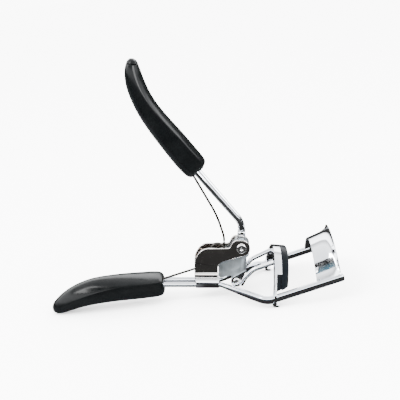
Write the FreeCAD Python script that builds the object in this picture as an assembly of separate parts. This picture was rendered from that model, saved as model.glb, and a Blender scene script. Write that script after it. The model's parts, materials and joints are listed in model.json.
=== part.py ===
import FreeCAD, Part

import math
import os

from FreeCAD import Vector

# Eyelash curler: two black grips, a wire frame that splays into two guide rails, a fixed
# arched jaw at the front of the rails, and a moving arched jaw with a lash pad that a lever
# and a two-armed yoke push along the rails.
#
# The parts are drawn in the "tool frame", in millimetres: the main pivot's axis is the Y
# axis, X runs forwards to the jaws, Z is up and the handle wires inside the lower grip lie
# level. At the end everything is tipped forwards by STANCE_TILT and lifted, so that the
# tool stands on the tip of its lower grip and on the moving jaw's two ears.

# ---------------------------------------------------------------- driving dimensions
WIRE_D = 1.9              # round steel wire of the frame and the upper handle
WIRE_Y = 2.4              # half the distance between the two frame wires
WIRE_Z = -14.45           # height of the frame wires behind the splay

RAIL_Y = 17.0             # half the distance between the guide rails
RAIL_W = 2.2              # the rails are pressed slightly flat
RAIL_H = 2.6
RAIL_SLOPE = 19.5         # degrees above the frame wires
KNEE = Vector(9.7, RAIL_Y, -14.21)   # where an arm turns up into its rail
RAIL_LENGTH = 26.2        # knee to rounded front end

SHEET = 0.7               # pressed steel sheet
FIT = 0.04                # clearance of a running fit

SLEEVE_BACK, SLEEVE_FRONT = -16.6, -8.1
SLEEVE_Y = 1.8            # half the distance between the centres of its round sides
SLEEVE_R = 2.15
SLEEVE_Z = -13.75
BRACKET_BACK, BRACKET_FRONT = -17.1, -8.5
CHEEK_IN, CHEEK_OUT = 2.55, 3.3     # inner and outer faces of the bracket's cheeks
BEAD_R, BEAD_Y, BEAD_Z = 1.1, 2.85, -10.35   # rolled rib near the foot of a cheek

PIVOT_R = 1.1             # main rivet
PIVOT_HEAD_R = 1.8
LEVER_IN, LEVER_OUT = 1.42, 2.12    # inner and outer faces of the lever's two flanges
LEVER_ARM = 12.1          # main pivot to lever pin
LEVER_LEAN = 8.2          # degrees that the lever pin starts behind the pivot
PIN_R = 0.9               # lever pin
EYE_IN, EYE_OUT = 4.4, 5.4          # yoke eyes, inner and outer faces
YOKE_ROD_D = 1.7
RIVET_R = 0.7             # shanks that hold the yoke to the jaw
EYE_R = 2.0               # round end of a yoke eye
EYE_POINT = 52.0          # degrees; the way its pointed end faces

JAW_LEAN = 4.5            # moving jaw, degrees forwards of upright
JAW_BASE_X = 10.8         # back of the moving jaw where it crosses the rails
JAW_RISE = 13.3           # crest above the rails, in the jaw's own plane
JAW_R = 19.2              # outer radius of the moving jaw
JAW_BAND = 3.2            # radial height of its channel
JAW_DEPTH = 2.5           # depth of its channel
JAW_WALL_Y = 13.2         # the channel's walls stop here and show the pad
EAR_SIDE_PLAY = 0.35      # clearance of the ears on the rails, sideways
EAR_PLAY_ABOVE = 1.0      # above the rails, because the yoke swings the jaw as it slides
EAR_PLAY_BELOW = 0.15
EAR_HALF_WIDTH = 2.1
EAR_FOOT, EAR_TOP = -2.35, 3.2      # from the centre of the rail
PAD_FACE = 5.3            # front of the pad at the crest, from the back of the jaw
PAD_ABOVE_RAIL = 0.75
PAD_TAPER = 3.0           # degrees that the pad's face leans back from the jaw
YOKE_SEAT_Y, YOKE_SEAT_RISE = 6.4, 9.75  # where the yoke arms are riveted to the jaw

PLATE_R = 19.9            # fixed jaw, outer radius at its crest
PLATE_LEAN = 5.0          # degrees that its back edge leans backwards of upright
PLATE_BACK = Vector(25.0, 0, 2.0)   # crest of the back edge
LIP_LEAN = 9.5            # degrees that its front edge leans backwards of upright

SPRING_D = 0.7
COIL = Vector(-8.6, 0, -1.6)
COIL_R = 2.4              # centre line
COIL_PITCH = 0.85
COIL_START = -58.0        # degrees; the lower leg meets the coil here

GRIP_WIDTH = 12.6

STANCE_TILT = 7.28        # degrees, front down

# ---------------------------------------------------------------- helpers


def direction(degrees):
    """Unit vector in the XZ plane at this angle above +X."""
    angle = math.radians(degrees)
    return Vector(math.cos(angle), 0, math.sin(angle))


PIVOT = Vector(0, 0, 0)
RAIL_DIR = direction(RAIL_SLOPE)
RAIL_UP = direction(RAIL_SLOPE + 90)
LEVER_PIN = direction(-90 - LEVER_LEAN) * LEVER_ARM
JAW_BASE = Vector(JAW_BASE_X, 0,
                  KNEE.z + (JAW_BASE_X - KNEE.x) * math.tan(math.radians(RAIL_SLOPE)))
YOKE_SEAT = JAW_BASE + direction(90 - JAW_LEAN) * YOKE_SEAT_RISE + Vector(0, YOKE_SEAT_Y, 0)


def mirrored(shape):
    """The same shape on the other side of the mid-plane."""
    return shape.mirror(Vector(0, 0, 0), Vector(0, 1, 0))


def both_sides(shape):
    return Part.makeCompound([shape, mirrored(shape)])


def cylinder_y(centre, radius, y0, y1):
    start = Vector(centre.x, y0, centre.z)
    return Part.makeCylinder(radius, y1 - y0, start, Vector(0, 1, 0))


def plate_y(outline, y0, y1):
    """A flat sheet between y0 and y1 from an outline of edges in the XZ plane."""
    face = Part.Face(Part.Wire(outline))
    face.translate(Vector(0, y0, 0))
    return face.extrude(Vector(0, y1 - y0, 0))


def rounded_outline(corners):
    """Closed XZ outline through (x, z, corner radius) points, with tangent arcs."""
    points = [Vector(x, 0, z) for x, z, _ in corners]
    edges = []
    starts, ends, mids = [], [], []
    for i, (x, z, radius) in enumerate(corners):
        here = points[i]
        to_last = (points[i - 1] - here).normalize()
        to_next = (points[(i + 1) % len(points)] - here).normalize()
        half = to_last.getAngle(to_next) / 2
        reach = radius / math.tan(half)
        bisector = (to_last + to_next).normalize()
        starts.append(here + to_last * reach)
        ends.append(here + to_next * reach)
        mids.append(here + bisector * (radius / math.sin(half) - radius))
    for i, (_, _, radius) in enumerate(corners):
        if radius > 0:
            edges.append(Part.Arc(starts[i], mids[i], ends[i]).toShape())
        follower = (i + 1) % len(points)
        if (starts[follower] - ends[i]).Length > 1e-6:
            edges.append(Part.LineSegment(ends[i], starts[follower]).toShape())
    return edges


def rounded_path(corners, radii):
    """Open wire of straight runs joined by tangent arcs; radii are for the inner points."""
    edges = []
    last = corners[0]
    for before, here, after, radius in zip(corners, corners[1:], corners[2:], radii):
        back = (before - here).normalize()
        ahead = (after - here).normalize()
        half = back.getAngle(ahead) / 2
        reach = radius / math.tan(half)
        middle = here + (back + ahead).normalize() * (radius / math.sin(half) - radius)
        edges.append(Part.LineSegment(last, here + back * reach).toShape())
        edges.append(Part.Arc(here + back * reach, middle, here + ahead * reach).toShape())
        last = here + ahead * reach
    edges.append(Part.LineSegment(last, corners[-1]).toShape())
    return Part.Wire(edges)


def round_rod(path, diameter):
    """A round wire of constant diameter along a path."""
    first = path.Edges[0]
    start = first.valueAt(first.FirstParameter)
    tangent = first.tangentAt(first.FirstParameter)
    circle = Part.Wire(Part.makeCircle(diameter / 2, start, tangent))
    return path.makePipeShell([circle], True, False)


def oval(centre, tangent, side, width, height, squareness=2.0, points=16):
    """Closed smooth section; squareness 2 is an ellipse, more is nearer to a rectangle."""
    side = (side - tangent * side.dot(tangent)).normalize()
    up = tangent.cross(side).normalize()
    power = 2.0 / squareness
    around = []
    for k in range(points):
        turn = 2 * math.pi * (k + 0.5) / points
        c, s = math.cos(turn), math.sin(turn)
        across = math.copysign(abs(c) ** power, c) * width / 2
        along = math.copysign(abs(s) ** power, s) * height / 2
        around.append(centre + side * across + up * along)
    curve = Part.BSplineCurve()
    curve.interpolate(Points=around, PeriodicFlag=True)
    return Part.Wire(curve.toShape())


def loft(sections, straight_between=False):
    return Part.makeLoft(sections, True, straight_between)


def stations(path, steps):
    """(point, tangent) pairs along a path, evenly spaced on each of its edges."""
    found = []
    for index, edge in enumerate(path.Edges):
        for step in range(1 if index else 0, steps + 1):
            at = edge.FirstParameter
            at += (edge.LastParameter - edge.FirstParameter) * step / steps
            found.append((edge.valueAt(at), edge.tangentAt(at)))
    return found


def under_plane(height):
    """Everything below a plane parallel to the rails, this far above their centre line."""
    block = Part.makeBox(80, 60, 30, Vector(-40, -30, -30))
    block.rotate(PIVOT, Vector(0, 1, 0), -RAIL_SLOPE)
    block.translate(Vector(KNEE.x, 0, KNEE.z) + RAIL_UP * height)
    return block


# ---------------------------------------------------------------- frame


def frame_arm():
    """One frame wire: straight in the grip, splayed, then pressed into a guide rail."""
    start = Vector(-48, WIRE_Y, WIRE_Z)
    splay = Vector(-7.3, WIRE_Y, WIRE_Z)
    shoulder = Vector(7.4, RAIL_Y, KNEE.z)
    front = KNEE + RAIL_DIR * RAIL_LENGTH
    path = rounded_path([start, splay, shoulder, KNEE, front], [2.0, 3.4, 2.2])
    sections = []
    for point, tangent in stations(path, 6):
        pressed = min(max((point.x + 7.0) / 11.0, 0.0), 1.0)
        width = WIRE_D + (RAIL_W - WIRE_D) * pressed
        height = WIRE_D + (RAIL_H - WIRE_D) * pressed
        across = Vector(0, 1, 0) if pressed == 1 else Vector(0, 0, 1).cross(tangent)
        sections.append(oval(point, tangent, across, width, height, 2.0 + 0.9 * pressed))
    for beyond, size in ((0.5, 0.8), (0.8, 0.4)):
        tip = front + RAIL_DIR * beyond
        sections.append(oval(tip, RAIL_DIR, Vector(0, 1, 0), RAIL_W * size, RAIL_H * size, 2.4))
    return loft(sections, straight_between=True)


def wire_sleeve():
    """Flat tube pressed round the two frame wires under the bracket."""
    length = SLEEVE_FRONT - SLEEVE_BACK
    corner = Vector(SLEEVE_BACK, -SLEEVE_Y, SLEEVE_Z - SLEEVE_R)
    tube = Part.makeBox(length, 2 * SLEEVE_Y, 2 * SLEEVE_R, corner)
    ends, wires = [], []
    for side in (-1, 1):
        end = Vector(SLEEVE_BACK, side * SLEEVE_Y, SLEEVE_Z)
        wire = Vector(SLEEVE_BACK, side * WIRE_Y, WIRE_Z)
        ends.append(Part.makeCylinder(SLEEVE_R, length, end, Vector(1, 0, 0)))
        wires.append(Part.makeCylinder(WIRE_D / 2, length, wire, Vector(1, 0, 0)))
    return tube.fuse(ends).removeSplitter().cut(wires)


def pivot_bracket():
    """Two cheeks that carry the main rivet, joined by a saddle that rests on the sleeve."""
    foot = SLEEVE_Z + SLEEVE_R
    outline = rounded_outline([
        (BRACKET_BACK, foot, 0), (BRACKET_BACK, -4.6, 5.5), (-14.6, 0.0, 4.5), (-4.3, 0.1, 1.2),
        (-2.9, 3.15, 2.2), (3.15, 3.15, 3.1), (3.15, -2.3, 2.6), (-2.8, -3.9, 4.0),
        (BRACKET_FRONT, -5.7, 2.6), (BRACKET_FRONT, foot, 0)])
    cheek = plate_y(outline, CHEEK_IN, CHEEK_OUT)
    cheek = cheek.cut(cylinder_y(PIVOT, PIVOT_R, 0, CHEEK_OUT))
    bead = Part.makeCylinder(BEAD_R, BRACKET_FRONT - BRACKET_BACK,
                             Vector(BRACKET_BACK, BEAD_Y, BEAD_Z), Vector(1, 0, 0))
    outside = Part.makeBox(20, 5, 10, Vector(BRACKET_BACK, CHEEK_IN, -16))
    cheek = cheek.fuse(bead.common(outside))
    saddle = Part.makeBox(BRACKET_FRONT - BRACKET_BACK, 2 * CHEEK_OUT, SHEET,
                          Vector(BRACKET_BACK, -CHEEK_OUT, foot))
    return cheek.fuse([mirrored(cheek), saddle]).removeSplitter()


def riveted_head(centre, radius, face, height):
    """Rounded head on an outer face, on the left side."""
    head = cylinder_y(centre, radius, face, face + height)
    rim = [edge for edge in head.Edges
           if edge.BoundBox.YMin > face + height / 2 and edge.BoundBox.XLength > radius]
    return head.makeFillet(height * 0.6, rim)


def pivot_rivet():
    """Main hinge rivet: a shaft across the cheeks with a domed, dimpled head at each end."""
    head = riveted_head(PIVOT, PIVOT_HEAD_R, CHEEK_OUT, 0.7)
    head = head.cut(Part.makeSphere(0.75, Vector(0, CHEEK_OUT + 1.15, 0)))
    shaft = cylinder_y(PIVOT, PIVOT_R, -CHEEK_OUT, CHEEK_OUT)
    return shaft.fuse([head, mirrored(head)]).removeSplitter()


def pivot_washers():
    """Thin washers that keep the lever central between the cheeks."""
    disc = cylinder_y(PIVOT, 2.3, LEVER_OUT + FIT, CHEEK_IN - FIT)
    return both_sides(disc.cut(cylinder_y(PIVOT, PIVOT_R + FIT, 0, CHEEK_OUT)))


def upper_jaw():
    """Fixed arched plate across the front of the rails, with a lip rolled outwards."""
    axis_at = PLATE_BACK - RAIL_UP * PLATE_R

    def at(along, out):
        return axis_at + RAIL_DIR * along + RAIL_UP * (PLATE_R + out)

    outer = [at(-6.0, -0.6), at(3.9, 0.45), at(6.5, 1.05), at(8.4, 2.5)]
    inner = [at(-6.0, -0.6 - SHEET), at(3.95, 0.45 - SHEET), at(6.85, 0.42), at(8.85, 1.95)]
    section = Part.Face(Part.Wire([
        Part.LineSegment(outer[0], outer[1]).toShape(),
        Part.Arc(outer[1], outer[2], outer[3]).toShape(),
        Part.LineSegment(outer[3], inner[3]).toShape(),
        Part.Arc(inner[3], inner[2], inner[1]).toShape(),
        Part.LineSegment(inner[1], inner[0]).toShape(),
        Part.LineSegment(inner[0], outer[0]).toShape()]))
    section.rotate(axis_at, RAIL_DIR, -80)
    shell = section.revolve(axis_at, RAIL_DIR, 160)
    half_width = RAIL_Y + RAIL_W / 2
    keep = Part.makeBox(30, 2 * half_width, 60, Vector(0, -half_width, -30))
    keep.rotate(Vector(0, 0, 0), Vector(0, 1, 0), -PLATE_LEAN)
    keep.translate(PLATE_BACK)
    behind = Part.makeBox(40, 80, 80, Vector(-40, -40, -40))
    behind.rotate(Vector(0, 0, 0), Vector(0, 1, 0), -LIP_LEAN)
    behind.translate(at(8.2, 2.3))
    return shell.common(keep).common(behind).cut(under_plane(RAIL_H / 2))


# ---------------------------------------------------------------- handle and lever


def lever():
    """Bell crank bent from sheet: two flanges joined by a rounded web at the front."""
    outline = rounded_outline([
        (-2.9, 2.9, 2.8), (2.9, 2.9, 2.8), (2.9, -3.4, 1.6), (0.1, -4.6, 1.0),
        (0.1, -13.8, 1.7), (-3.7, -13.8, 1.7), (-3.3, -10.7, 0.6), (-8.2, -12.1, 1.0),
        (-8.2, -4.6, 3.0), (-2.9, -1.4, 1.5)])
    flange = plate_y(outline, LEVER_IN, LEVER_OUT)
    web_top, web_foot = -4.4, -9.8
    tube = Part.makeCylinder(LEVER_OUT, web_top - web_foot, Vector(0, 0, web_foot))
    hollow = Part.makeCylinder(LEVER_IN, web_top - web_foot, Vector(0, 0, web_foot))
    front = Part.makeBox(5, 10, 20, Vector(0, -5, -15))
    web = tube.cut(hollow).common(front)
    body = flange.fuse([mirrored(flange), web]).removeSplitter()
    body = body.cut(cylinder_y(PIVOT, PIVOT_R + FIT, -LEVER_OUT, LEVER_OUT))
    return body.cut(cylinder_y(LEVER_PIN, PIN_R, -LEVER_OUT, LEVER_OUT))


def lever_pin():
    """Pin through the foot of the lever, headed outside the two yoke eyes."""
    shaft = cylinder_y(LEVER_PIN, PIN_R, -EYE_OUT - FIT, EYE_OUT + FIT)
    head = riveted_head(LEVER_PIN, 1.25, EYE_OUT + FIT, 0.55)
    return shaft.fuse([head, mirrored(head)]).removeSplitter()


def handle_wire():
    """One handle wire: flattened into an eye on the main rivet, then bent back to the grip."""
    eye_y = (LEVER_IN + 0.3) / 2
    thickness = LEVER_IN - 0.3 - FIT
    path = rounded_path([
        Vector(0.1, eye_y, 0.8), Vector(0.1, eye_y, 3.4), Vector(0.1, 2.0, 9.0),
        Vector(-13.4, 2.9, 25.0), Vector(-20.2, 2.9, 33.1), Vector(-28.0, 2.9, 44.0)],
        [6.0, 7.0, 40.0, 60.0])
    sections = []
    for point, tangent in stations(path, 5):
        round_again = min(max((point.z - 3.5) / 9.0, 0.0), 1.0)
        width = thickness + (WIRE_D - thickness) * round_again
        height = 2.9 + (WIRE_D - 2.9) * round_again
        sections.append(oval(point, tangent, Vector(0, 1, 0), width, height,
                             2.8 - 0.8 * round_again))
    eye = cylinder_y(PIVOT, 2.5, eye_y - thickness / 2, eye_y + thickness / 2)
    rivet_hole = cylinder_y(PIVOT, PIVOT_R + FIT, 0, LEVER_IN)
    return loft(sections, straight_between=True).fuse(eye).cut(rivet_hole)


# ---------------------------------------------------------------- grips


def grip(stations_along, width, squareness):
    """Moulded grip lofted through (x, z, thickness, share of full width) stations."""
    centres = [Vector(x, 0, z) for x, z, _, _ in stations_along]
    sections = []
    for i, (_, _, thickness, share) in enumerate(stations_along):
        ahead = centres[min(i + 1, len(centres) - 1)]
        behind = centres[max(i - 1, 0)]
        tangent = (ahead - behind).normalize()
        sections.append(oval(centres[i], tangent, Vector(0, 1, 0), width * share, thickness,
                             squareness))
    return loft(sections)


def lower_grip():
    return grip([
        (-28.3, -15.3, 4.4, 0.45), (-28.9, -15.35, 6.6, 0.66), (-30.4, -15.5, 7.8, 0.80),
        (-35.0, -15.85, 8.4, 0.90), (-41.5, -16.25, 8.9, 0.97), (-48.0, -16.8, 9.1, 1.0),
        (-54.5, -17.8, 9.1, 0.98), (-60.0, -19.5, 8.3, 0.90), (-64.4, -21.7, 7.1, 0.76),
        (-67.6, -23.8, 5.5, 0.58), (-69.3, -25.1, 3.8, 0.40), (-70.1, -25.7, 1.7, 0.2)],
        GRIP_WIDTH, 2.7)


def upper_grip():
    return grip([
        (-15.6, 28.5, 5.4, 0.45), (-16.2, 29.1, 8.0, 0.66), (-17.4, 30.5, 8.9, 0.80),
        (-20.3, 33.8, 9.1, 0.92), (-24.3, 38.75, 8.8, 0.98), (-29.0, 44.6, 8.1, 1.0),
        (-32.7, 49.7, 7.5, 0.97), (-35.5, 54.8, 7.0, 0.90), (-37.3, 59.4, 6.6, 0.80),
        (-38.2, 63.4, 5.7, 0.66), (-38.4, 66.2, 4.3, 0.48), (-38.3, 67.6, 2.8, 0.32),
        (-38.2, 68.1, 1.3, 0.16)],
        GRIP_WIDTH, 2.7)


# ---------------------------------------------------------------- moving jaw


def jaw_place(shape):
    """From the jaw's own frame (X forwards, Z up, origin between the ears) to the tool frame."""
    shape.rotate(Vector(0, 0, 0), Vector(0, 1, 0), JAW_LEAN)
    shape.translate(JAW_BASE)
    return shape


def jaw_ring(outer, inner, back, front, half_width):
    """Piece of an arch in the jaw's frame, between two depths, down to the ears."""
    centre = Vector(back, 0, JAW_RISE - JAW_R)
    ring = Part.makeCylinder(outer, front - back, centre, Vector(1, 0, 0))
    ring = ring.cut(Part.makeCylinder(inner, front - back, centre, Vector(1, 0, 0)))
    window = Part.makeBox(front - back, 2 * half_width, 30, Vector(back, -half_width, 0))
    return ring.common(window)


def lower_jaw():
    """Arched channel with an ear at each end that slides on a guide rail."""
    inner = JAW_R - JAW_BAND
    web = jaw_ring(JAW_R, inner, 0, SHEET, RAIL_Y + 1.2)
    walls = [jaw_ring(JAW_R, JAW_R - SHEET, 0, JAW_DEPTH, JAW_WALL_Y),
             jaw_ring(inner + SHEET, inner, 0, JAW_DEPTH, JAW_WALL_Y - 1.4)]
    lean = math.radians(RAIL_SLOPE + JAW_LEAN)
    rail_half = RAIL_H / 2 / math.cos(lean)
    hole_foot = -rail_half - EAR_PLAY_BELOW
    hole_top = rail_half + SHEET * math.tan(lean) + EAR_PLAY_ABOVE
    ears, holes = [], []
    for side in (-1, 1):
        y = side * RAIL_Y
        ear = Part.makeBox(SHEET, 2 * EAR_HALF_WIDTH, EAR_TOP - EAR_FOOT,
                           Vector(0, y - EAR_HALF_WIDTH, EAR_FOOT))
        uprights = [e for e in ear.Edges if e.BoundBox.XLength > SHEET / 2]
        ears.append(ear.makeFillet(1.4, uprights))
        ears.append(Part.makeBox(2.1, 2.4, 0.7, Vector(0, y - 1.2, EAR_FOOT)))
        half_width = RAIL_W / 2 + EAR_SIDE_PLAY
        hole = Part.makeBox(SHEET, 2 * half_width, hole_top - hole_foot,
                            Vector(0, y - half_width, hole_foot))
        corners = [e for e in hole.Edges if e.BoundBox.XLength > SHEET / 2]
        holes.append(hole.makeFillet(0.7, corners))
        seat = Vector(0, side * YOKE_SEAT_Y, YOKE_SEAT_RISE)
        holes.append(Part.makeCylinder(RIVET_R, SHEET, seat, Vector(1, 0, 0)))
    return jaw_place(web.fuse(walls + ears).removeSplitter().cut(holes))


def lash_pad():
    """Rubber pad: a tongue in the channel and a wider bead that meets the fixed jaw."""
    inner = JAW_R - JAW_BAND
    tongue = jaw_ring(JAW_R - SHEET - 0.02, inner + SHEET + 0.02, SHEET, JAW_DEPTH + 1, 17.3)
    bead = jaw_ring(JAW_R, inner, JAW_DEPTH + 0.02, JAW_DEPTH + 5, 17.6)
    pad = tongue.fuse(bead).removeSplitter()
    beyond = Part.makeBox(20, 60, 60, Vector(0, -30, -30))
    beyond.rotate(Vector(0, 0, 0), Vector(0, 1, 0), -PAD_TAPER)
    beyond.translate(Vector(PAD_FACE, 0, JAW_RISE))
    return jaw_place(pad.cut(beyond)).cut(under_plane(RAIL_H / 2 + PAD_ABOVE_RAIL))


def yoke_arm():
    """One arm of the yoke: a flat eye on the lever pin and a rod up to the jaw."""
    reach = 5.4
    tangent = math.degrees(math.acos(EYE_R / reach))
    tip = LEVER_PIN + direction(EYE_POINT) * reach
    first = LEVER_PIN + direction(EYE_POINT + tangent) * EYE_R
    second = LEVER_PIN + direction(EYE_POINT - tangent) * EYE_R
    back = LEVER_PIN - direction(EYE_POINT) * EYE_R
    eye = plate_y([Part.Arc(first, back, second).toShape(),
                   Part.LineSegment(second, tip).toShape(),
                   Part.LineSegment(tip, first).toShape()], EYE_IN, EYE_OUT)
    rod = round_rod(rounded_path([Vector(0.0, 4.9, -13.4), Vector(1.4, 4.95, -10.6),
                                  Vector(4.3, 5.3, -7.3), YOKE_SEAT], [5.0, 7.0]), YOKE_ROD_D)
    jaw_side = jaw_place(Part.makeBox(5, 20, 30, Vector(0, 0, 0)))
    pin_hole = cylinder_y(LEVER_PIN, PIN_R + FIT, 0, EYE_OUT + 1)
    return eye.fuse(rod).removeSplitter().cut([jaw_side, pin_hole])


def yoke_rivets():
    """Flush rivets through the web of the moving jaw that hold the yoke arms to its back."""
    rivets = []
    for side in (-1, 1):
        seat = Vector(0, side * YOKE_SEAT_Y, YOKE_SEAT_RISE)
        rivets.append(jaw_place(Part.makeCylinder(RIVET_R, SHEET, seat, Vector(1, 0, 0))))
    return Part.makeCompound(rivets)


# ---------------------------------------------------------------- spring


def return_spring():
    """Torsion spring: a coil between the cheeks and a leg into each grip."""

    def on_coil(degrees):
        turn = (degrees - COIL_START) / 360
        return COIL + direction(degrees) * COIL_R + Vector(0, COIL_PITCH * (turn - 1.08), 0)

    end = 720
    edges = []
    lower_leg = [Vector(-31.0, 0, -13.5), Vector(-14.0, 0, -7.72), on_coil(COIL_START)]
    for point in lower_leg[:2]:
        point.y = lower_leg[2].y
    edges += rounded_path(lower_leg, [6.0]).Edges
    step = (end - COIL_START) / 10
    for k in range(10):
        first = COIL_START + k * step
        edges.append(Part.Arc(on_coil(first), on_coil(first + step / 2),
                              on_coil(first + step)).toShape())
    top = on_coil(end)
    upper_leg = [top, Vector(top.x, top.y, 3.2), Vector(-9.0, top.y, 11.6),
                 Vector(-19.4, top.y, 29.8)]
    edges += rounded_path(upper_leg, [10.0, 40.0]).Edges
    return round_rod(Part.Wire(edges), SPRING_D)


# ---------------------------------------------------------------- assembly


def build():
    arm, wire, yoke = frame_arm(), handle_wire(), yoke_arm()
    spring = return_spring()
    nodes = {
        "frame_arm_left": arm,
        "frame_arm_right": mirrored(arm),
        "lower_grip": lower_grip().cut([arm, mirrored(arm), spring]),
        "wire_sleeve": wire_sleeve(),
        "pivot_bracket": pivot_bracket(),
        "pivot_rivet": pivot_rivet(),
        "pivot_washers": pivot_washers(),
        "upper_jaw": upper_jaw(),
        "return_spring": spring,
        "handle_wire_left": wire,
        "handle_wire_right": mirrored(wire),
        "upper_grip": upper_grip().cut([wire, mirrored(wire), spring]),
        "lever": lever(),
        "lever_pin": lever_pin(),
        "lower_jaw": lower_jaw(),
        "lash_pad": lash_pad(),
        "yoke_arm_left": yoke,
        "yoke_arm_right": mirrored(yoke),
        "yoke_rivets": yoke_rivets(),
    }
    os.makedirs("parts", exist_ok=True)
    for shape in nodes.values():
        shape.rotate(PIVOT, Vector(0, 1, 0), STANCE_TILT)
    box = Part.makeCompound(list(nodes.values())).optimalBoundingBox(False)
    lift = Vector(-(box.XMin + box.XMax) / 2, 0, -box.ZMin)
    for name, shape in nodes.items():
        shape.translate(lift)
        shape.exportStep("parts/" + name + ".step")
    print("main pivot at", lift, "size", box.XLength, box.YLength, box.ZLength)


build()
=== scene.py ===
import json
import math

import bmesh
import bpy
from mathutils import Matrix, Vector


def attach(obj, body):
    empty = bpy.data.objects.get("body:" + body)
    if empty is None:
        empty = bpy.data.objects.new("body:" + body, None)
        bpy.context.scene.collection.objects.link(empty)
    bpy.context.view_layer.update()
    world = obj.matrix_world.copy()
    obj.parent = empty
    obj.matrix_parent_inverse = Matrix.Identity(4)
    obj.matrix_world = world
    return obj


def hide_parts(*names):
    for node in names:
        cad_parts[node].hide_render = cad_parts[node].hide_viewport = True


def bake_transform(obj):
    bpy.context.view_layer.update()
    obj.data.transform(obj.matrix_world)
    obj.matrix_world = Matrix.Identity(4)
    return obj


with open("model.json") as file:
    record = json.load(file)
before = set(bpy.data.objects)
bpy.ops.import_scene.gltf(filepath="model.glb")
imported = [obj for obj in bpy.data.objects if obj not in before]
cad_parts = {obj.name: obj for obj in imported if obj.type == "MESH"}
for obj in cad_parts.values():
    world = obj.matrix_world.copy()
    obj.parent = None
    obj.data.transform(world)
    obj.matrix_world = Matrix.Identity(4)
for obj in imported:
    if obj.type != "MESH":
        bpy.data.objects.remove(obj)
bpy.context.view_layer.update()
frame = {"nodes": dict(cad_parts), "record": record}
nodes = frame["nodes"]

# Everything below is drawn in the tool frame, in millimetres: the main pivot is the Y axis,
# X runs forwards to the jaws and the frame wires lie level. PLACE takes it to the row frame.
MM = 0.001
STANCE_TILT = math.radians(7.28)
PIVOT_AT = Vector((19.4509, 0, 17.8068))
PLACE = (Matrix.Translation(PIVOT_AT * MM) @ Matrix.Rotation(STANCE_TILT, 4, "Y")
         @ Matrix.Scale(MM, 4))
ACROSS = Vector((0, 1, 0))

RAIL_Y = 17.0
RAIL_W, RAIL_H = 2.2, 2.6
WIRE_D = 1.9
WIRE_Y, WIRE_Z = 2.4, -14.45
KNEE = Vector((9.7, RAIL_Y, -14.21))
RAIL_SLOPE = 19.5
SHEET = 0.7
ROUND = 2.0  # squareness of a round section


def direction(degrees):
    angle = math.radians(degrees)
    return Vector((math.cos(angle), 0, math.sin(angle)))


RAIL_DIR, RAIL_UP = direction(RAIL_SLOPE), direction(RAIL_SLOPE + 90)


# ---------------------------------------------------------------- mesh helpers


def smoothstep(x):
    x = min(max(x, 0.0), 1.0)
    return x * x * (3 - 2 * x)


def spline(points, steps):
    """Catmull-Rom points through a list of equal-length tuples."""
    padded = [points[0], *points, points[-1]]
    out = []
    for a, b, c, d in zip(padded, padded[1:], padded[2:], padded[3:]):
        for k in range(steps):
            t = k / steps
            out.append(tuple(
                0.5 * (2 * q + (r - p) * t + (2 * p - 5 * q + 4 * r - s) * t * t
                       + (3 * q - p - 3 * r + s) * t ** 3)
                for p, q, r, s in zip(a, b, c, d)))
    out.append(tuple(points[-1]))
    return out


def rounded_path(corners, radii, step):
    """Points along straight runs joined by tangent arcs, no more than step apart."""
    finest_turn, fewest = 0.12, 4
    corners = [Vector(c) for c in corners]
    legs = [corners[0]]
    for before, here, after, radius in zip(corners, corners[1:], corners[2:], radii):
        back, ahead = (before - here).normalized(), (after - here).normalized()
        half = back.angle(ahead) / 2
        reach = radius / math.tan(half)
        centre = here + (back + ahead).normalized() * radius / math.sin(half)
        start, end = here + back * reach, here + ahead * reach
        turn = math.pi - 2 * half
        count = max(fewest, math.ceil(turn * radius / step), math.ceil(turn / finest_turn))
        first, last = start - centre, end - centre
        for k in range(count + 1):
            t = k / count
            legs.append(centre + (first * math.sin((1 - t) * turn)
                                  + last * math.sin(t * turn)) / math.sin(turn))
    legs.append(corners[-1])
    points = [legs[0]]
    for a, b in zip(legs, legs[1:]):
        count = max(1, math.ceil((b - a).length / step))
        points += [a.lerp(b, k / count) for k in range(1, count + 1)]
    return points


def make(name, verts, faces, body, slot, replaced, place=PLACE):
    """A smooth piece from tool-frame vertices that stands for CAD nodes."""
    mesh = bpy.data.meshes.new(name)
    mesh.from_pydata([place @ Vector(v) for v in verts], [], faces)
    work = bmesh.new()
    work.from_mesh(mesh)
    bmesh.ops.remove_doubles(work, verts=work.verts, dist=1e-7)
    bmesh.ops.recalc_face_normals(work, faces=work.faces)
    for face in work.faces:
        face.smooth = True
    work.to_mesh(mesh)
    work.free()
    piece = bpy.data.objects.new(name, mesh)
    bpy.context.scene.collection.objects.link(piece)
    if body:
        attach(piece, body)
    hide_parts(*replaced)
    return piece


def skin(rings):
    """Vertices and faces of a closed tube through rings of equally many points."""
    verts = [v for ring in rings for v in ring]
    n = len(rings[0])
    faces = []
    for i in range(len(rings) - 1):
        for k in range(n):
            a, b = i * n + k, i * n + (k + 1) % n
            faces.append((a, b, b + n, a + n))
    for ring, start in ((rings[0], 0), (rings[-1], (len(rings) - 1) * n)):
        centre = sum((Vector(v) for v in ring), Vector()) / n
        verts.append(centre)
        faces += [(start + k, start + (k + 1) % n, len(verts) - 1) for k in range(n)]
    return verts, faces


def ring(centre, tangent, width, height, squareness=ROUND, count=28):
    """A closed superellipse section square to the tangent."""
    side = (ACROSS - tangent * ACROSS.dot(tangent)).normalized()
    up = side.cross(tangent)
    if up.z < 0 or (abs(up.z) < 1e-6 and up.x > 0):
        up = -up
    power = 2.0 / squareness
    points = []
    for k in range(count):
        turn = 2 * math.pi * k / count
        c, s = math.cos(turn), math.sin(turn)
        points.append(centre + side * (math.copysign(abs(c) ** power, c) * width / 2)
                      + up * (math.copysign(abs(s) ** power, s) * height / 2))
    return points


def tangents(points):
    out = []
    for i in range(len(points)):
        a, b = points[max(i - 1, 0)], points[min(i + 1, len(points) - 1)]
        out.append((b - a).normalized())
    return out


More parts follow.
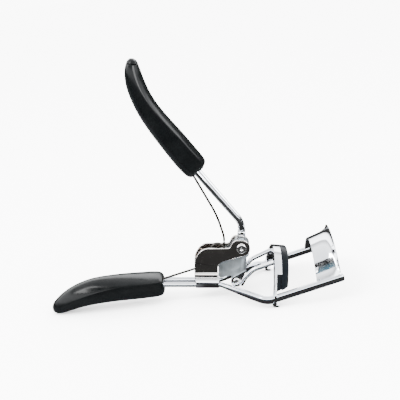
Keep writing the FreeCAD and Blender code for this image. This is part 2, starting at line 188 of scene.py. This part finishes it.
def flip_y(points):
    return [Vector((p.x, -p.y, p.z)) for p in points]


def bevelled(piece, width, segments=3, angle=35.0):
    """Rounds a piece's sharp edges and keeps its flats flat."""
    weld = piece.modifiers.new("weld", "WELD")
    weld.merge_threshold = 2e-6
    bevel = piece.modifiers.new("edges", "BEVEL")
    bevel.width = width * MM
    bevel.segments = segments
    bevel.limit_method = "ANGLE"
    bevel.angle_limit = math.radians(angle)
    bevel.harden_normals = False
    bevel.use_clamp_overlap = True
    piece.modifiers.new("normals", "WEIGHTED_NORMAL")
    for face in piece.data.polygons:
        face.use_smooth = True


# ---------------------------------------------------------------- shader helpers

# Sockets of a Mix node that mixes colours.
MIX_FACTOR, MIX_A, MIX_B, MIX_RESULT = 0, 6, 7, 2


def colour_mix(tree, factor):
    mix = tree.nodes.new("ShaderNodeMix")
    mix.data_type = "RGBA"
    tree.links.new(factor, mix.inputs[MIX_FACTOR])
    return mix


def map_range(tree, value, start, end, low=0.0, high=1.0):
    ramp = tree.nodes.new("ShaderNodeMapRange")
    ramp.inputs["From Min"].default_value = start
    ramp.inputs["From Max"].default_value = end
    ramp.inputs["To Min"].default_value = low
    ramp.inputs["To Max"].default_value = high
    tree.links.new(value, ramp.inputs["Value"])
    return ramp.outputs["Result"]


def position(tree, kind):
    """The X, Y and Z outputs of a texture coordinate."""
    place = tree.nodes.new("ShaderNodeTexCoord")
    split = tree.nodes.new("ShaderNodeSeparateXYZ")
    tree.links.new(place.outputs[kind], split.inputs["Vector"])
    return split.outputs


# ---------------------------------------------------------------- materials


class Look:
    """A Principled material with a few nodes for its surface detail."""

    def __init__(self, name, color, metallic, roughness, **extra):
        self.material = bpy.data.materials.new(name)
        self.material.use_nodes = True
        self.tree = self.material.node_tree
        self.shader = self.tree.nodes["Principled BSDF"]
        self.shader.inputs["Base Color"].default_value = (*color, 1)
        self.shader.inputs["Metallic"].default_value = metallic
        self.shader.inputs["Roughness"].default_value = roughness
        for socket, value in extra.items():
            self.shader.inputs[socket.replace("_", " ")].default_value = value
        self.place = self.tree.nodes.new("ShaderNodeTexCoord")

    def noise(self, scale, detail):
        noise = self.tree.nodes.new("ShaderNodeTexNoise")
        noise.inputs["Scale"].default_value = scale
        noise.inputs["Detail"].default_value = detail
        self.tree.links.new(self.place.outputs["Object"], noise.inputs["Vector"])
        return noise.outputs["Fac"]

    def rough(self, factor, low, high):
        self.tree.links.new(map_range(self.tree, factor, 0.3, 0.7, low, high),
                            self.shader.inputs["Roughness"])

    def tint(self, factor, one, other):
        mix = colour_mix(self.tree, map_range(self.tree, factor, 0.35, 0.65))
        mix.inputs[MIX_A].default_value = (*one, 1)
        mix.inputs[MIX_B].default_value = (*other, 1)
        self.tree.links.new(mix.outputs[MIX_RESULT], self.shader.inputs["Base Color"])

    def bump(self, factor, strength, depth_mm):
        bump = self.tree.nodes.new("ShaderNodeBump")
        bump.inputs["Strength"].default_value = strength
        bump.inputs["Distance"].default_value = depth_mm * MM
        self.tree.links.new(factor, bump.inputs["Height"])
        last = self.shader.inputs["Normal"].links
        if last:
            self.tree.links.new(last[0].from_socket, bump.inputs["Normal"])
        self.tree.links.new(bump.outputs["Normal"], self.shader.inputs["Normal"])


def chrome(name, bright, dull, low, high, wave=0.02):
    """Polished metal: two tints, a roughness range, fine pits and a slow wave in mm."""
    look = Look(name, bright, 1.0, low)
    look.tint(look.noise(160, 4), bright, dull)
    look.rough(look.noise(420, 5), low, high)
    look.bump(look.noise(900, 2), 0.25, 0.012)
    look.bump(look.noise(140, 2), 0.4, wave)
    return look.material


FLAT_WAVE = 0.006  # stamped sheet is flatter than drawn wire
CHROME = chrome("chrome", (0.86, 0.88, 0.90), (0.80, 0.82, 0.85), 0.05, 0.11, FLAT_WAVE)
WIRE_CHROME = chrome("wire_chrome", (0.84, 0.87, 0.91), (0.74, 0.77, 0.82), 0.07, 0.15)
BRACKET_CHROME = chrome("bracket_chrome", (0.80, 0.77, 0.74), (0.70, 0.66, 0.63),
                        0.05, 0.11, FLAT_WAVE)
LEVER_STEEL = chrome("lever_steel", (0.42, 0.46, 0.48), (0.35, 0.39, 0.41), 0.38, 0.5)
RIVET_STEEL = chrome("rivet_steel", (0.88, 0.88, 0.87), (0.76, 0.76, 0.75), 0.10, 0.2)
SPRING_STEEL = chrome("spring_steel", (0.035, 0.033, 0.030), (0.024, 0.022, 0.020), 0.28, 0.42)

plastic = Look("black_plastic", (0.001, 0.001, 0.0012), 0.0, 0.16, Specular_IOR_Level=0.12)
plastic.rough(plastic.noise(300, 4), 0.14, 0.26)
plastic.tint(plastic.noise(120, 3), (0.0008, 0.0010, 0.0011), (0.0016, 0.0019, 0.0020))
plastic.bump(plastic.noise(2600, 3), 0.08, 0.01)
plastic.bump(plastic.noise(60, 2), 0.15, 0.05)
PLASTIC = plastic.material

rubber = Look("pad_rubber", (0.0010, 0.0017, 0.0024), 0.0, 0.3, Specular_IOR_Level=0.05)
rubber.rough(rubber.noise(500, 4), 0.22, 0.34)
rubber.tint(rubber.noise(180, 3), (0.0007, 0.0011, 0.0016), (0.0012, 0.0019, 0.0028))
rubber.bump(rubber.noise(1800, 3), 0.1, 0.01)
RUBBER = rubber.material


def paint(piece, material):
    piece.data.materials.clear()
    piece.data.materials.append(material)


SLOTS = {"chrome_steel": CHROME, "rivet_steel": RIVET_STEEL, "spring_steel": SPRING_STEEL,
         "black_plastic": PLASTIC, "pad_rubber": RUBBER}
for part in frame["record"]["subparts"]:
    paint(nodes[part["node"]], SLOTS[part["material_slot"]])


# ---------------------------------------------------------------- frame arms

ARM_BACK_X, SPLAY_X, SHOULDER_X, RAIL_LENGTH = -48, -7.3, 7.4, 26.2
ARM_BENDS, ARM_STEP, ARM_SIDES = [2.0, 3.4, 2.2], 0.8, 32
PRESS_FROM_X, PRESS_RUN, PRESS_SQUARES = -7.0, 11.0, 0.9
# The rounded front end of a rail: (distance past its end, share of its section).
NOSE = ((0.3, 0.95), (0.55, 0.82), (0.72, 0.62), (0.8, 0.4))
NOSE_SQUARENESS = 2.6


def arm_rings():
    """A round wire in the grip, splayed and pressed into a guide rail in front."""
    path = rounded_path([(ARM_BACK_X, WIRE_Y, WIRE_Z), (SPLAY_X, WIRE_Y, WIRE_Z),
                         (SHOULDER_X, RAIL_Y, KNEE.z), KNEE, KNEE + RAIL_DIR * RAIL_LENGTH],
                        ARM_BENDS, ARM_STEP)
    rings = []
    for point, tangent in zip(path, tangents(path)):
        pressed = smoothstep((point.x - PRESS_FROM_X) / PRESS_RUN)
        rings.append(ring(point, tangent, WIRE_D + (RAIL_W - WIRE_D) * pressed,
                          WIRE_D + (RAIL_H - WIRE_D) * pressed,
                          ROUND + PRESS_SQUARES * pressed, ARM_SIDES))
    front = path[-1]
    for beyond, size in NOSE:
        rings.append(ring(front + RAIL_DIR * beyond, RAIL_DIR, RAIL_W * size, RAIL_H * size,
                          NOSE_SQUARENESS, ARM_SIDES))
    return rings


def wire_pair(stem, left, body, node):
    """The left wire and its mirror image."""
    for side, rings in (("left", left), ("right", [flip_y(r) for r in left])):
        piece = make(stem + side, *skin(rings), body, "chrome_steel", [node + side])
        paint(piece, WIRE_CHROME)


wire_pair("arm_", arm_rings(), "frame", "frame_arm_")


# ---------------------------------------------------------------- handle wires

EYE_Y, EYE_THICKNESS, EYE_HEIGHT, EYE_SQUARENESS = 0.86, 1.08, 5.0, 3.2
EYE_MID_Z, EYE_REACH, EYE_LEAST = 0.9, 2.5, 0.02
NECK_FROM_Z, NECK_RUN, NECK_LOSS = 0.5, 2.5, 2.1
ROUND_FROM_Z, ROUND_RUN = 3.0, 9.5
HANDLE_WIRE = [(0.1, EYE_Y, -1.6), (0.1, EYE_Y, 3.4), (0.1, 2.0, 9.0),
               (-13.4, 2.9, 25.0), (-20.2, 2.9, 33.1), (-28.0, 2.9, 44.0)]
HANDLE_BENDS, HANDLE_STEP = [6.0, 7.0, 40.0, 60.0], 0.7


def handle_rings():
    """A wire flattened to an eye on the main rivet, then round up into the grip."""
    path = rounded_path(HANDLE_WIRE, HANDLE_BENDS, HANDLE_STEP)
    rings = []
    for point, tangent in zip(path, tangents(path)):
        rounded = smoothstep((point.z - ROUND_FROM_Z) / ROUND_RUN)
        flat = EYE_HEIGHT - NECK_LOSS * smoothstep((point.z - NECK_FROM_Z) / NECK_RUN)
        end = 1
        if point.z < EYE_MID_Z:
            end = math.sqrt(max(1 - ((EYE_MID_Z - point.z) / EYE_REACH) ** 2, EYE_LEAST))
        rings.append(ring(point, tangent, EYE_THICKNESS + (WIRE_D - EYE_THICKNESS) * rounded,
                          (flat + (WIRE_D - flat) * rounded) * end,
                          EYE_SQUARENESS - (EYE_SQUARENESS - ROUND) * rounded))
    return rings


wire_pair("wire_", handle_rings(), "handle", "handle_wire_")


# ---------------------------------------------------------------- grips

GRIP_WIDTH = 12.6
GRIP_SMOOTHING = 8  # rings between two stations
QUARTER_STEPS = 16
FACE_ROUNDING, FACE_DOME, BACK_ROUNDING = 2.1, 1.25, 2.9

# Sections from a grip's mouth to its tip: (x, z, thickness, share of the full width).
LOWER_GRIP = [
    (-28.3, -15.3, 4.4, 0.45), (-28.9, -15.35, 6.6, 0.66), (-30.4, -15.5, 7.8, 0.80),
    (-35.0, -15.85, 8.4, 0.90), (-41.5, -16.25, 8.9, 0.97), (-48.0, -16.8, 9.1, 1.0),
    (-54.5, -17.8, 9.1, 0.98), (-60.0, -19.5, 8.3, 0.90), (-64.4, -21.7, 7.1, 0.76),
    (-67.6, -23.8, 5.5, 0.58), (-69.3, -25.1, 3.8, 0.40), (-70.1, -25.7, 1.7, 0.2)]
UPPER_GRIP = [
    (-15.6, 28.5, 5.4, 0.45), (-16.2, 29.1, 8.0, 0.66), (-17.4, 30.5, 8.9, 0.80),
    (-20.3, 33.8, 9.1, 0.92), (-24.3, 38.75, 8.8, 0.98), (-29.0, 44.6, 8.1, 1.0),
    (-32.7, 49.7, 7.5, 0.97), (-35.5, 54.8, 7.0, 0.90), (-37.3, 59.4, 6.6, 0.80),
    (-38.2, 63.4, 5.7, 0.66), (-38.4, 66.2, 4.3, 0.48), (-38.3, 67.5, 2.9, 0.34),
    (-38.2, 68.03, 1.3, 0.16)]

# Where the crease between a grip's face and its sides runs: (place along the grip from its
# mouth to its tip, height above the centre as a share of half the thickness).
LOWER_CREASE = [(0.0, 0.86), (0.12, 0.82), (0.35, 0.58), (0.58, 0.22), (0.8, -0.05),
                (1.0, -0.1)]
UPPER_CREASE = [(0.0, 0.80), (0.3, 0.80), (0.55, 0.70), (0.75, 0.42), (0.9, 0.15), (1.0, 0.0)]


def crease_height(table, place):
    for (a, low), (b, high) in zip(table, table[1:]):
        if place <= b:
            return low + (high - low) * (place - a) / (b - a)
    return table[-1][1]


def grip_quarter(first, width_power, height_power, split, reach):
    """Points from a section's widest place, at split, to its middle, reach away."""
    points = []
    for k in range(first, QUARTER_STEPS + 1):
        turn = math.pi / 2 * k / QUARTER_STEPS
        points.append((math.cos(turn) ** (2 / width_power),
                       split + reach * math.sin(turn) ** (2 / height_power)))
    return points


def grip_ring(centre, tangent, width, thickness, crease):
    """A section with a domed face above a crease and rounder sides and back below it."""
    up = ACROSS.cross(tangent)
    if up.z < 0:
        up = -up
    half = thickness / 2
    split = crease * half
    face = grip_quarter(0, FACE_ROUNDING, FACE_DOME, split, half - split)
    below = grip_quarter(1, BACK_ROUNDING, BACK_ROUNDING, split, -(half + split))
    right = face[::-1] + below
    left = [(-y, z) for y, z in right[::-1][1:-1]]
    return [centre + ACROSS * (y * width / 2) + up * z for y, z in right + left]


def grip_rings(stations, creases):
    rings = []
    fine = spline(stations, GRIP_SMOOTHING)
    centres = [Vector((x, 0, z)) for x, z, _, _ in fine]
    run = [0.0]
    for a, b in zip(centres, centres[1:]):
        run.append(run[-1] + (b - a).length)
    for centre, tangent, (_, _, thickness, share), gone in zip(
            centres, tangents(centres), fine, run):
        rings.append(grip_ring(centre, tangent, GRIP_WIDTH * share, thickness,
                               crease_height(creases, gone / run[-1])))
    return rings


lower = make("lower_grip_shell", *skin(grip_rings(LOWER_GRIP, LOWER_CREASE)),
             "frame", "black_plastic", ["lower_grip"])
paint(lower, PLASTIC)
upper = make("upper_grip_shell", *skin(grip_rings(UPPER_GRIP, UPPER_CREASE)),
             "handle", "black_plastic", ["upper_grip"])
paint(upper, PLASTIC)


# ---------------------------------------------------------------- spring

SPRING_D, SPRING_SIDES, SPRING_STEP = 0.84, 12, 0.5
COIL, COIL_R, COIL_PITCH = Vector((-8.6, 0, -1.6)), 2.4, 0.85
COIL_START, COIL_END = -58.0, 720
COIL_MIDDLE = 1.08  # turns from the start to the mid-plane
LOWER_LEG = [(-31.0, -13.5), (-14.0, -7.72)]
UPPER_LEG = [(-9.0, 11.6), (-19.4, 29.8)]
UPPER_LEG_RISE_Z = 3.2


def on_coil(degrees):
    turn = (degrees - COIL_START) / 360
    return (COIL + direction(degrees) * COIL_R
            + Vector((0, COIL_PITCH * (turn - COIL_MIDDLE), 0)))


def spring_path():
    """A leg out of the lower grip, the coil, and a leg up into the upper grip."""
    first, last = on_coil(COIL_START), on_coil(COIL_END)
    down = rounded_path([(x, first.y, z) for x, z in LOWER_LEG] + [first],
                        [6.0], SPRING_STEP)
    coil = [on_coil(a) for a in range(-50, COIL_END, 8)]
    rise = rounded_path([last, (last.x, last.y, UPPER_LEG_RISE_Z)]
                        + [(x, last.y, z) for x, z in UPPER_LEG],
                        [10.0, 40.0], SPRING_STEP)
    return down + coil + rise


path = spring_path()
rings = [ring(p, t, SPRING_D, SPRING_D, count=SPRING_SIDES)
         for p, t in zip(path, tangents(path))]
spring = make("spring_wire", *skin(rings), None, "spring_steel", ["return_spring"])
paint(spring, SPRING_STEEL)
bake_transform(spring)


# ---------------------------------------------------------------- fixed jaw

PLATE_SLICES = 72
PLATE_R, PLATE_HALF_WIDTH = 19.9, 18.08
PLATE_BACK, PLATE_BACK_LEAN = Vector((25.0, 0, 2.0)), 5.0
LIP_AT, LIP_RISE, LIP_LEAN = 8.2, 2.3, 9.5
FLARE, FLARE_STEPS = 0.45, 4
# Sections of the plate in front of its flare: (distance along the rails, height over PLATE_R).
OUTER_FACE = [(3.9, 0.45), (4.8, 0.58), (5.7, 0.79), (6.5, 1.05), (7.5, 1.65), (8.3, 2.40)]
INNER_FACE = [(8.7, 1.85), (7.9, 1.08), (6.85, 0.42), (5.9, 0.08), (4.9, -0.13), (3.95, -0.25)]


def fixed_jaw():
    """An arched plate across the rails with its front lip rolled outwards."""
    lean, front_lean = direction(PLATE_BACK_LEAN), direction(LIP_LEAN)
    axis = PLATE_BACK - RAIL_UP * PLATE_R
    front = axis + RAIL_DIR * LIP_AT + RAIL_UP * (PLATE_R + LIP_RISE)
    floor_line = (KNEE - axis).dot(RAIL_UP) + RAIL_H / 2
    rings = []
    for k in range(PLATE_SLICES + 1):
        u = 2 * k / PLATE_SLICES - 1
        section = []

        def at(along, out, edge=False):
            r = PLATE_R + out
            turn = u * math.acos(floor_line / r)
            up = RAIL_UP * (r * math.cos(turn))
            if edge:
                along = (PLATE_BACK - axis - up).dot(lean) / RAIL_DIR.dot(lean)
            along = min(along, (front - axis - up).dot(front_lean) / RAIL_DIR.dot(front_lean))
            y = max(min(r * math.sin(turn), PLATE_HALF_WIDTH), -PLATE_HALF_WIDTH)
            section.append(axis + RAIL_DIR * along + up + Vector((0, y, 0)))
            return along

        near = at(0, 0.0, edge=True)
        shares = [j / FLARE_STEPS for j in range(1, FLARE_STEPS)]
        for share in shares:
            at(near + (OUTER_FACE[0][0] - near) * share, FLARE * share)
        for along, out in OUTER_FACE + INNER_FACE:
            at(along, out)
        for share in shares[::-1]:
            at(near + (INNER_FACE[-1][0] - near) * share, FLARE * share - SHEET)
        at(0, -SHEET, edge=True)
        rings.append(section)
    return skin(rings)


jaw = make("fixed_jaw_plate", *fixed_jaw(), "frame", "chrome_steel", ["upper_jaw"])
paint(jaw, CHROME)
bevelled(jaw, 0.2, segments=3, angle=38)


# ---------------------------------------------------------------- lash pad

JAW_LEAN = 4.5
JAW_RISE, JAW_R, JAW_BAND = 13.3, 19.2, 3.2
JAW_BASE = Vector((10.8, 0, KNEE.z + 1.1 * math.tan(math.radians(RAIL_SLOPE))))
JAW_PLACE = (PLACE @ Matrix.Translation(JAW_BASE)
             @ Matrix.Rotation(math.radians(JAW_LEAN), 4, "Y"))
PAD_SLICES, PAD_FOOT = 80, 2.05
PAD_FACE_X, PAD_DRAFT = 4.0, math.radians(3.0)
TONGUE_INSET, TONGUE_BACK, TONGUE_FRONT = 0.74, 0.8, 2.52


def lash_pad():
    """An arched strip with a tongue in the jaw's channel and a soft proud face."""
    lean = math.radians(RAIL_SLOPE + JAW_LEAN)
    inner, drop = JAW_R - JAW_BAND, JAW_R - JAW_RISE
    face = [(5.05, inner + 0.15), (5.25, inner + 0.7), (5.3, inner + 1.6), (5.28, JAW_R - 0.8),
            (5.1, JAW_R - 0.22), (4.6, JAW_R - 0.02)]
    tongue = [(TONGUE_FRONT, JAW_R - TONGUE_INSET), (TONGUE_BACK, JAW_R - TONGUE_INSET),
              (TONGUE_BACK, inner + TONGUE_INSET), (TONGUE_FRONT, inner + TONGUE_INSET)]
    section = ([(2.54, inner + 0.06), (3.2, inner), (4.1, inner + 0.01)] + face
               + [(3.4, JAW_R), (2.56, JAW_R - 0.05)] + tongue)
    rings = []
    for k in range(PAD_SLICES + 1):
        u = 2 * k / PAD_SLICES - 1
        points = []
        for x, r in section:
            limit = math.acos((PAD_FOOT + x * math.sin(lean)) / math.cos(lean) / r + drop / r)
            turn = u * limit
            height = r * math.cos(turn) - drop
            if x > PAD_FACE_X:
                x -= (JAW_RISE - height) * math.tan(PAD_DRAFT)
            points.append(Vector((x, r * math.sin(turn), height)))
        rings.append(points)
    return skin(rings)


pad = make("lash_pad_strip", *lash_pad(), "carriage", "pad_rubber", ["lash_pad"], JAW_PLACE)
paint(pad, RUBBER)
bevelled(pad, 0.12, segments=2, angle=38)


# ---------------------------------------------------------------- sheet parts and pins

EDGE_MM = {"pivot_bracket": 0.16, "wire_sleeve": 0.12, "lever": 0.14, "lower_jaw": 0.16,
           "pivot_rivet": 0.08, "lever_pin": 0.08, "pivot_washers": 0.05,
           "yoke_arm_left": 0.12, "yoke_arm_right": 0.12, "yoke_rivets": 0.05}
for name, width in EDGE_MM.items():
    bevelled(nodes[name], width)
paint(nodes["pivot_bracket"], BRACKET_CHROME)
paint(nodes["lever"], LEVER_STEEL)


# ---------------------------------------------------------------- studio

# Lengths here are in metres, in the row frame.
FLOOR_HALF, FLOOR_Z = 6.0, -0.00005
# The floor is evenly pale to the camera and to soft light; in reflections it is painted near
# black, a painted shade that stands for the shadowed floor under the tool.
FLOOR_SEEN, FLOOR_REFLECTED_SHADE = (0.97, 0.97, 0.97, 1), (0.004, 0.004, 0.004, 1)
# A painted reflection: a paler grey patch of the reflected floor beside the splayed arms,
# between these X and Y edges.
PALE_PAINTED_REFLECTION = (0.06, 0.062, 0.065, 1)
PALE_REFLECTION_EDGES = (("X", 0.004, -0.006), ("Y", -0.028, -0.020))
# An overhead glowing sheet, a painted reflection of dark and teal that only reflections see.
CARD_LEFT, CARD_RIGHT = -0.30, 0.0
CARD_FRONT, CARD_FRONT_Z, CARD_BACK, CARD_BACK_Z = -0.245, 0.37, -0.070, 0.445
CARD_FADE_Y = -0.150
CARD_DARK_REFLECTION, CARD_TEAL_REFLECTION = (0.004, 0.005, 0.006, 1), (0.05, 0.26, 0.38, 1)
SKY_SEEN, SKY_STRENGTH = (1.5, 1.5, 1.5, 1), 6.5
SKY_BOTTOM, SKY_TOP = (0.006, 0.006, 0.006, 1), (0.36, 0.37, 0.385, 1)
SKY_BANDS = ((0.20, 0.006), (0.30, 0.8), (0.60, 1.0), (0.66, 0.16), (0.80, 0.5))
LAMPS = (("key", (-0.35, -0.15, 0.55), 0.30, 6.0), ("fill", (0.55, -0.25, 0.35), 0.25, 4.0))
LAMPS_AIM = Vector((0, 0, 0.03))


def emission_mix(tree, seen, reflected):
    """Shows one colour to the camera and soft light, another in reflections."""
    light = tree.nodes.new("ShaderNodeLightPath")
    mix = colour_mix(tree, light.outputs["Is Glossy Ray"])
    mix.inputs[MIX_A].default_value = seen
    tree.links.new(reflected, mix.inputs[MIX_B])
    return mix.outputs[MIX_RESULT]


def floor_reflection_shade(tree):
    """Painted shade in reflections: the floor near black, with a painted paler reflection to
    the left of the splayed arms.
    """
    place = position(tree, "Object")
    both = tree.nodes.new("ShaderNodeMath")
    both.operation = "MULTIPLY"
    for slot, (axis, start, end) in enumerate(PALE_REFLECTION_EDGES):
        tree.links.new(map_range(tree, place[axis], start, end), both.inputs[slot])
    mix = colour_mix(tree, both.outputs["Value"])
    mix.inputs[MIX_A].default_value = FLOOR_REFLECTED_SHADE
    mix.inputs[MIX_B].default_value = PALE_PAINTED_REFLECTION
    return mix.outputs[MIX_RESULT]


def flat(name, corners, material):
    mesh = bpy.data.meshes.new(name)
    mesh.from_pydata(corners, [], [(0, 1, 2, 3)])
    mesh.materials.append(material)
    sheet = bpy.data.objects.new(name, mesh)
    bpy.context.scene.collection.objects.link(sheet)
    return sheet


def floor():
    material = bpy.data.materials.new("floor")
    material.use_nodes = True
    tree = material.node_tree
    shader = tree.nodes["Principled BSDF"]
    shader.inputs["Roughness"].default_value = 0.9
    shader.inputs["Specular IOR Level"].default_value = 0.0
    # Painted shade: the floor shows its pale colour to the camera and a near-black colour in
    # reflections.
    tree.links.new(emission_mix(tree, FLOOR_SEEN, floor_reflection_shade(tree)),
                   shader.inputs["Base Color"])
    flat("floor", [(-FLOOR_HALF, -FLOOR_HALF, FLOOR_Z), (FLOOR_HALF, -FLOOR_HALF, FLOOR_Z),
                   (FLOOR_HALF, FLOOR_HALF, FLOOR_Z), (-FLOOR_HALF, FLOOR_HALF, FLOOR_Z)],
         material)


def reflection_card():
    """A painted reflection: an overhead sheet that glows dark at its back and teal in front,
    seen only in reflections and casting no shadow.
    """
    material = bpy.data.materials.new("reflection_card")
    material.use_nodes = True
    tree = material.node_tree
    shader = tree.nodes["Principled BSDF"]
    shader.inputs["Base Color"].default_value = (0.0, 0.0, 0.0, 1)
    shader.inputs["Specular IOR Level"].default_value = 0.0
    # The sheet glows with its own colour as a painted reflection; it is no lamp.
    shader.inputs["Emission Strength"].default_value = 1.0
    fade = map_range(tree, position(tree, "Object")["Y"], CARD_FADE_Y, CARD_FRONT)
    ramp = tree.nodes.new("ShaderNodeValToRGB")
    tree.links.new(fade, ramp.inputs["Fac"])
    ramp.color_ramp.elements[0].color = CARD_DARK_REFLECTION
    ramp.color_ramp.elements[1].color = CARD_TEAL_REFLECTION
    tree.links.new(ramp.outputs["Color"], shader.inputs["Emission Color"])
    sheet = flat("reflection_card", [(CARD_LEFT, CARD_FRONT, CARD_FRONT_Z),
                          (CARD_RIGHT, CARD_FRONT, CARD_FRONT_Z),
                          (CARD_RIGHT, CARD_BACK, CARD_BACK_Z),
                          (CARD_LEFT, CARD_BACK, CARD_BACK_Z)], material)
    sheet.visible_shadow = False
    sheet.visible_diffuse = False


def sky():
    """White to the camera; bands of light and dark by height in reflections."""
    world = bpy.data.worlds.new("studio")
    world.use_nodes = True
    tree = world.node_tree
    ramp = tree.nodes.new("ShaderNodeValToRGB")
    tree.links.new(position(tree, "Generated")["Z"], ramp.inputs["Fac"])
    bands = ramp.color_ramp.elements
    bands[0].position, bands[0].color = 0.0, SKY_BOTTOM
    bands[1].position, bands[1].color = 1.0, SKY_TOP
    for at, shade in SKY_BANDS:
        bands.new(at).color = (shade, shade * 1.01, shade * 1.03, 1)
    background = tree.nodes["Background"]
    background.inputs["Strength"].default_value = SKY_STRENGTH
    tree.links.new(emission_mix(tree, SKY_SEEN, ramp.outputs["Color"]),
                   background.inputs["Color"])
    bpy.context.scene.world = world


def lamps():
    for name, spot, size, power in LAMPS:
        data = bpy.data.lights.new(name, "AREA")
        data.size = size
        data.energy = power
        lamp = bpy.data.objects.new(name, data)
        lamp.location = spot
        lamp.rotation_mode = "QUATERNION"
        lamp.rotation_quaternion = (LAMPS_AIM - Vector(spot)).to_track_quat("-Z", "Y")
        bpy.context.scene.collection.objects.link(lamp)


# ---------------------------------------------------------------- camera

CAMERA_AT = Vector((-15.0735, -263.2039, 96.9781))
CAMERA_ELEVATION = math.radians(16.8)
LENS, SENSOR = 68.54, 36


def camera():
    right = Vector((1, 0, 0))
    up = Vector((0, math.sin(CAMERA_ELEVATION), math.cos(CAMERA_ELEVATION)))
    back = right.cross(up)
    tilt = Matrix.Rotation(STANCE_TILT, 3, "Y")
    data = bpy.data.cameras.new("camera")
    data.sensor_width = SENSOR
    data.lens = LENS
    data.clip_start, data.clip_end = 0.01, 50
    eye = bpy.data.objects.new("camera", data)
    turn = (tilt @ Matrix((right, up, back)).transposed()).to_4x4()
    eye.matrix_world = Matrix.Translation(PLACE @ CAMERA_AT) @ turn
    bpy.context.scene.collection.objects.link(eye)
    bpy.context.scene.camera = eye


floor()
reflection_card()
sky()
lamps()
camera()
